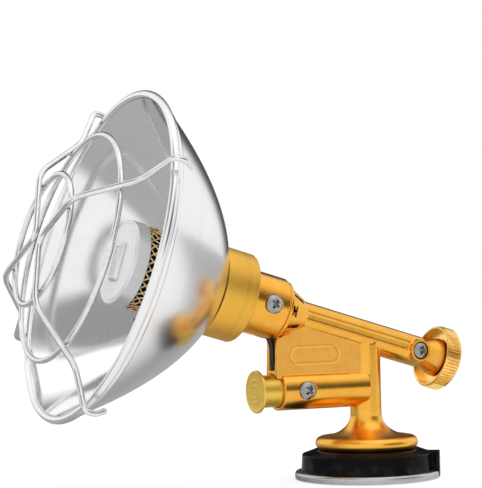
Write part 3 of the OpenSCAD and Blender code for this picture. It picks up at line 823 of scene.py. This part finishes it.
burner_steel = surface(
    "burner steel", [(0.3, 0.27, 0.24), (0.46, 0.43, 0.4), (0.62, 0.6, 0.58)], (0.24, 0.42), 1.0,
    lathe_lines, on_axis_lines(5200.0, 700.0), (0.15, 0.00006),
)
throat_low, throat_high = along_head("mixing_tube")[:2]
throat_r, throat_bore = 6.6, 5.7
mouth_r, shoulder_r = 9.2, 11
floor_s = 78.5
throat = turned(
    [(throat_bore, throat_high), (throat_bore, throat_low + 5), (throat_bore + 0.5, throat_low + 3),
     (mouth_r - 0.9, throat_low), (mouth_r, throat_low + 0.1), (throat_r + 0.4, throat_low + 3.4),
     (throat_r, throat_low + 5), (throat_r, floor_s - 1.1), (shoulder_r, floor_s - 1.1),
     (shoulder_r, floor_s - 0.05), (throat_r, floor_s - 0.05), (throat_r, throat_high)],
    96,
)
dress(settle(throat, "throat_tube_drawn", head), burner_steel, replaces=["mixing_tube"])
# The drum behind the mesh is coloured near black: painted shade in the gaps between the mesh wires.
shade_dark_drum_steel = surface(
    "drum steel darkened as painted shade", [(0.02, 0.012, 0.008), (0.045, 0.026, 0.016), (0.09, 0.055, 0.035)],
    (0.45, 0.65), 1.0, cast_grain, {"Grain": 1200.0}, (0.15, 0.00005),
)
finish(burner_steel, "collar_disc", "bowl_nut")
finish(shade_dark_drum_steel, "burner_drum")


# ---- reflector bowl ----
# Spun and chromed sheet bowl: a parabola that runs into a raised band and a fully rolled bead, with the floor
# pierced for the throat tube and the electrode.

bowl_high, rim_out = along_head("reflector_bowl")[1:]
bead_r = 1.7
rim_s = bowl_high - bead_r
rim_r = rim_out - bead_r
bowl_wall = 0.9
apex_s = floor_s - 2.1
focal = (rim_r + 0.8) ** 2 / (4 * (rim_s - apex_s))
band_low, band_high, band_lift = rim_s - 5, rim_s - 2.6, 0.45
satin = 0.2


def roughen_outside(material):
    """Makes a turned sheet's outside rougher than its inside, as it comes off the spinning roller."""
    tree = material.node_tree
    arm = vector_math(tree, "SUBTRACT", object_place(tree), axis_foot)
    out = vector_math(tree, "CROSS_PRODUCT", head_axis, vector_math(tree, "CROSS_PRODUCT", arm, head_axis))
    normal = add(tree, "ShaderNodeNewGeometry").outputs["Normal"]
    share = vector_math(tree, "DOT_PRODUCT", out, normal)
    shader = tree.nodes["Principled BSDF"]
    polished = shader.inputs["Roughness"].links[0].from_socket
    rough = add(tree, "ShaderNodeMix", {0: math(tree, "GREATER_THAN", share, 0.0), 2: polished, 3: satin})
    tree.links.new(rough.outputs[0], shader.inputs["Roughness"])


bowl_chrome = surface(
    "bowl chrome", [(0.82, 0.825, 0.83), (0.88, 0.885, 0.89), (0.94, 0.94, 0.945)], (0.07, 0.12), 1.0,
    lathe_lines, on_axis_lines(1500.0, 160.0), (0.05, 0.00004), wear_and_sheen=0.1,
)
roughen_outside(bowl_chrome)


def bowl_radius(s):
    """The radius of the bowl's outside at a distance s along the head axis."""
    return sqrt(4 * focal * (s - apex_s))


def inside_point(s):
    """The point on the bowl's inside that is square across the wall from the outside at s."""
    lean = atan(2 * focal / bowl_radius(s))
    return bowl_radius(s) - bowl_wall * cos(lean), s + bowl_wall * sin(lean)


last_s = rim_s - 1.1
rise = [floor_s + (last_s - floor_s) * (k / 40) ** 1.5 for k in range(41)]
outside = [(bowl_radius(s), s) for s in rise if s < band_low]
band = [
    (bowl_radius(band_low), band_low), (bowl_radius(band_low + 0.15) + band_lift * 0.7, band_low + 0.12),
    (bowl_radius(band_low + 0.4) + band_lift, band_low + 0.4),
    (bowl_radius(band_high - 0.4) + band_lift, band_high - 0.4),
    (bowl_radius(band_high - 0.15) + band_lift * 0.7, band_high - 0.12), (bowl_radius(band_high), band_high),
]
bead = arc(rim_r, rim_s, bead_r, -100, 180, 26)
bowl = turned(
    [(throat_r + 0.05, floor_s)] + outside + band + bead
    + [inside_point(s) for s in reversed(rise)]
    + [(throat_r + 0.05, floor_s + bowl_wall)],
    224,
)
pierced = turned([(0, 70), (1.9, 70), (1.9, 90), (0, 90)], 32)
combine(bowl, moved(pierced, Matrix.Translation((-15, 0, 0))), "DIFFERENCE")
dress(settle(bowl, "bowl_spinning", head, 50), bowl_chrome, replaces=["reflector_bowl"])


# ---- electrode ----
# White ceramic sleeve through the bowl's floor, and the nickel wire that it holds beside the mesh.

ceramic = surface(
    "glazed ceramic", [(0.66, 0.65, 0.6), (0.78, 0.77, 0.73), (0.86, 0.86, 0.83)], (0.12, 0.28), 0.0,
    cast_grain, {"Grain": 900.0}, (0.12, 0.0001),
)
sleeve = turned(
    [(1.3, 72), (1.75, 72), (1.75, 77.4), (2.6, 77.4), (2.6, 78.45), (1.75, 78.5), (1.75, 91.4), (1.4, 92),
     (0.75, 92), (0.75, 74), (1.3, 74)],
    48,
)
below = Matrix.Translation((-15, 0, 0))
dress(settle(sleeve, "ceramic_sleeve", head @ below), ceramic, replaces=["electrode_insulator"])
spark_route = [(-15, 0, 74.1), (-15, 0, 94), (-21.6, 0, 102), (-21.6, 0, 110)]
spark = wire(rounded(spark_route, [3, 3]), 1.4)
dress(settle(spark, "spark_wire", head), spring_steel, replaces=["electrode_wire"])


# ---- burner ----
# Closed by a steel dish behind and a pressed aluminium cap in front; between them a perforated drum with a
# woven brass mesh round it, whose cut ends stand up a little at the rear.

cap_front, cap_r = along_head("burner_cap")[1:]
cap_face = cap_front - 1.9
cap_skirt = 6.2
mesh_low, mesh_high = along_head("burner_mesh")[:2]
dish_low, dish_high = along_head("burner_plate")[:2]
strand_d = 0.78
cells_round = 32
cell_long = 4.3
weave_r = cap_r - 0.8
weave_swing = 0.38

dish = turned(
    [(throat_r + 0.05, dish_low), (cap_r - 0.5, dish_low)]
    + arc(cap_r - 0.5, dish_low + 0.5, 0.5, -90, 0, 4)
    + [(cap_r, dish_high), (throat_r + 0.05, dish_high)],
    128,
)
dress(settle(dish, "burner_dish", head), burner_steel, replaces=["burner_plate"])

mesh_brass = surface(
    "mesh brass", [(0.62, 0.4, 0.17), (0.95, 0.74, 0.45), (1.0, 0.92, 0.74)], (0.25, 0.4), 1.0,
    cast_grain, {"Grain": 900.0}, (0.15, 0.00005),
)
crossings = int((mesh_high - mesh_low) / (cell_long / 2))
strands = []
for hand in (-1, 1):
    for number in range(cells_round):
        points = []
        for k in range(2 * crossings + 1):
            s = mesh_high - k * cell_long / 4
            turn = 2 * pi * (number + hand * k / 4) / cells_round
            r = weave_r + hand * weave_swing * cos(pi * k / 2) * (1 if number % 2 else -1)
            points.append((r * cos(turn), r * sin(turn), s))
        strands.append(wire(points, strand_d, sides=6))
bpy.ops.object.select_all(action="DESELECT")
for strand in strands:
    strand.select_set(True)
bpy.context.view_layer.objects.active = strands[0]
bpy.ops.object.join()
weave = bpy.context.object
dress(settle(weave, "mesh_weave", head, 80), mesh_brass, replaces=["burner_mesh"])

cap_aluminium = surface(
    "cap aluminium", [(0.8, 0.8, 0.8), (0.88, 0.88, 0.88), (0.94, 0.94, 0.94)], (0.36, 0.48), 1.0,
    lathe_lines, on_axis_lines(3400.0, 500.0), (0.15, 0.00006), wear_and_sheen=0.2,
)
skirt_s = cap_face - cap_skirt
cap = turned(
    [(0, cap_face), (cap_r - 2.0, cap_face), (cap_r - 1.7, cap_face - 0.25), (cap_r - 1.4, cap_face - 0.05)]
    + arc(cap_r - 0.9, cap_face - 0.9, 0.85, 90, 0, 5)
    + [(cap_r, skirt_s + 0.2), (cap_r - 0.2, skirt_s), (cap_r - 1.2, skirt_s), (cap_r - 1.2, cap_face - 1.3),
       (0, cap_face - 1.3)],
    144,
)
bridge = block((-8.5, -4.2, cap_face - 1.2), (8.5, 4.2, cap_front), 1.7)
combine(cap, bridge, "UNION")
dent = block((-6.5, -2.6, cap_face + 0.4), (6.5, 2.6, cap_front + 2), 0.5)
combine(cap, dent, "DIFFERENCE")
soften(cap, 0.15, 2, 45)
dress(settle(cap, "cap_pressing", head), cap_aluminium, replaces=["burner_cap"])


# ---- guard ----
# Chromed spring wire: two bent wires, each with two arms that hook over the bowl's bead, and two rings that
# are spot-welded behind them.

guard_d = 2.5
guard_front = 27
arm_bends = [(73.9, -5.3), (76.7, -0.9), (76.3, 3.5), (57.5, 8.5), (34.5, guard_front)]
guard_turn = radians(15)
outer_ring_r, inner_ring_r = 48.4, 27.8

guard_chrome = surface(
    "guard chrome", [(0.66, 0.66, 0.66), (0.82, 0.82, 0.82), (0.93, 0.93, 0.93)], (0.03, 0.08), 1.0,
    cast_grain, {"Grain": 700.0}, (0.05, 0.00004),
)


def bent_wire(name, turn, corner, tip_cut, node):
    """One guard wire; its arms stand at 45 degrees to each side of its own middle."""
    lean = pi / 4
    shift = corner * cos(lean)
    half = [(corner + (r - shift) * cos(lean), (r - shift) * sin(lean), rim_s + h) for r, h in arm_bends]
    other = [(x, -y, z) for x, y, z in reversed(half)]
    route = half + [(corner, 0, rim_s + guard_front)] + other
    piece = wire(rounded(route, [2, 2, 4, 6, tip_cut, 6, 4, 2, 2]), guard_d, round_ends=True)
    settle(piece, name, head @ about_z(turn))
    dress(piece, guard_chrome, replaces=[node])


bent_wire("guard_arms_near", -pi / 2 - guard_turn, 4, 7, "guard_wire_near")
bent_wire("guard_arms_far", pi / 2 - guard_turn, 2, 5, "guard_wire_far")

arm_slope = atan((guard_front - 8.5) / (57.5 - 34.5))
outer_height = 8.5 + (57.5 - outer_ring_r) * tan(arm_slope) - (guard_d + 0.05) / cos(arm_slope)
inner_height = guard_front - guard_d - 0.05
rings = [("outer", outer_ring_r, outer_height), ("inner", inner_ring_r, inner_height)]
for word, ring_radius, height in rings:
    circle = [(ring_radius * cos(2 * pi * k / 160), ring_radius * sin(2 * pi * k / 160), rim_s + height)
              for k in range(160)]
    hoop = wire(circle, guard_d, closed=True)
    settle(hoop, "guard_hoop_" + word, head)
    dress(hoop, guard_chrome, replaces=["guard_ring_" + word])


# ---- studio ----
# White floor that glows in front of the object, and a soft surrounding light with dark flags, so that
# polished metal shows the bands of a light tent. The camera stands low in front, to the left.

floor_white = bpy.data.materials.new("floor white")
floor_white.use_nodes = True
floor_tree = floor_white.node_tree
floor_shader = floor_tree.nodes["Principled BSDF"]
mottle = add(floor_tree, "ShaderNodeTexNoise", {"Scale": 3.0, "Detail": 2.0})
floor_ramp = add(floor_tree, "ShaderNodeValToRGB", {"Fac": mottle.outputs[0]})
floor_ramp.color_ramp.elements[0].color = (0.48, 0.48, 0.48, 1)
floor_ramp.color_ramp.elements[1].color = (0.52, 0.52, 0.52, 1)
floor_tree.links.new(floor_ramp.outputs["Color"], floor_shader.inputs["Base Color"])
floor_shader.inputs["Roughness"].default_value = 0.9
floor_shader.inputs["Emission Color"].default_value = (1, 1, 1, 1)
floor_seen = add(floor_tree, "ShaderNodeLightPath").outputs["Is Camera Ray"]
floor_depth = add(floor_tree, "ShaderNodeSeparateXYZ", {0: object_place(floor_tree)}).outputs["Y"]
front_light = add(floor_tree, "ShaderNodeMapRange", {
    "Value": floor_depth, "From Min": 0.01, "From Max": -0.03, "To Max": 0.55,
}).outputs[0]
floor_glow = add(floor_tree, "ShaderNodeMix", {0: floor_seen, 2: front_light, 3: 0.64})
floor_tree.links.new(floor_glow.outputs[0], floor_shader.inputs["Emission Strength"])
bpy.ops.object.select_all(action="DESELECT")
bpy.ops.mesh.primitive_plane_add(size=12, location=(0, 0, -0.0002))
floor = bpy.context.object
floor.name = "studio_floor"
floor.data.materials.append(floor_white)

world = bpy.data.worlds.new("light tent")
bpy.context.scene.world = world
world.use_nodes = True
sky = world.node_tree
sky.nodes.clear()
direction = add(sky, "ShaderNodeTexCoord").outputs["Generated"]
upward = add(sky, "ShaderNodeSeparateXYZ", {0: direction}).outputs["Z"]
level = vector_math(sky, "NORMALIZE", vector_math(sky, "MULTIPLY", direction, (1, 1, 0)))
height = math(sky, "ADD", math(sky, "MULTIPLY", upward, 0.5), 0.5)


def tent(stops):
    """Brightness of the light tent from straight down, 0, to straight up, 1."""
    ramp = add(sky, "ShaderNodeValToRGB", {"Fac": height})
    elements = ramp.color_ramp.elements
    for element, (place, value) in zip(elements, [stops[0], stops[-1]]):
        element.position = place
        element.color = (value, value, value, 1)
    for place, value in stops[1:-1]:
        elements.new(place).color = (value, value, value, 1)
    return ramp.outputs["Color"]


bright = tent([(0.0, 0.5), (0.42, 0.85), (0.5, 1.0), (0.66, 1.0), (0.82, 1.0), (0.92, 1.2), (1.0, 1.25)])
flag = tent([
    (0.0, 0.5), (0.4, 1.0), (0.46, 0.8), (0.5, 0.25), (0.55, 0.08), (0.64, 0.1), (0.72, 0.35), (0.82, 0.95),
    (0.9, 1.25), (1.0, 1.35),
])
behind = tent([(0.0, 0.3), (0.45, 0.1), (0.52, 0.02), (0.7, 0.03), (0.84, 0.35), (0.93, 1.0), (1.0, 1.2)])


def mixed(share, light, other):
    """One light over another, by a share from 0 to 1."""
    return add(sky, "ShaderNodeMix", {0: share, 6: light, 7: other}, data_type="RGBA").outputs[2]


def patched(light, patch, looking, way, low, high):
    """The light with a soft-edged patch where the looking direction comes near the patch's own way."""
    near = vector_math(sky, "DOT_PRODUCT", looking, way)
    share = add(sky, "ShaderNodeMapRange", {"Value": near, "From Min": low, "From Max": high},
                interpolation_type="SMOOTHSTEP").outputs[0]
    return mixed(share, light, patch)


flag_turn, back_turn = radians(36), radians(26)
flag_way = (sin(flag_turn), -cos(flag_turn), 0)
back_way = (sin(back_turn), cos(back_turn), 0)
canopy_way = Vector((-0.65, -0.1, 0.75)).normalized()
canopy_grey = (0.35, 0.35, 0.35, 1)
light = patched(bright, flag, level, flag_way, 0.82, 0.95)
light = patched(light, behind, level, back_way, 0.86, 0.95)
light = patched(light, canopy_grey, direction, canopy_way, 0.88, 0.94)
seen = add(sky, "ShaderNodeLightPath").outputs["Is Camera Ray"]
glow = add(sky, "ShaderNodeBackground", {"Color": mixed(seen, light, (1, 1, 1, 1)), "Strength": 1.0})
add(sky, "ShaderNodeOutputWorld", {"Surface": glow.outputs[0]})

view_turn, view_rise, view_roll = radians(-25.9), radians(-1.71), radians(-1.26)
view_middle = Vector((-0.0603, 0, 0.1046))
view_distance = 0.7085
camera = bpy.data.objects.new("camera", bpy.data.cameras.new("camera"))
camera.data.lens = 120.77
looking = about_z(view_turn) @ Matrix.Rotation(pi / 2 - view_rise, 4, "X") @ about_z(view_roll)
camera.matrix_world = Matrix.Translation(view_middle) @ looking @ Matrix.Translation((0, 0, view_distance))
bpy.context.scene.collection.objects.link(camera)
bpy.context.scene.camera = camera
bpy.context.scene.view_settings.view_transform = "Standard"
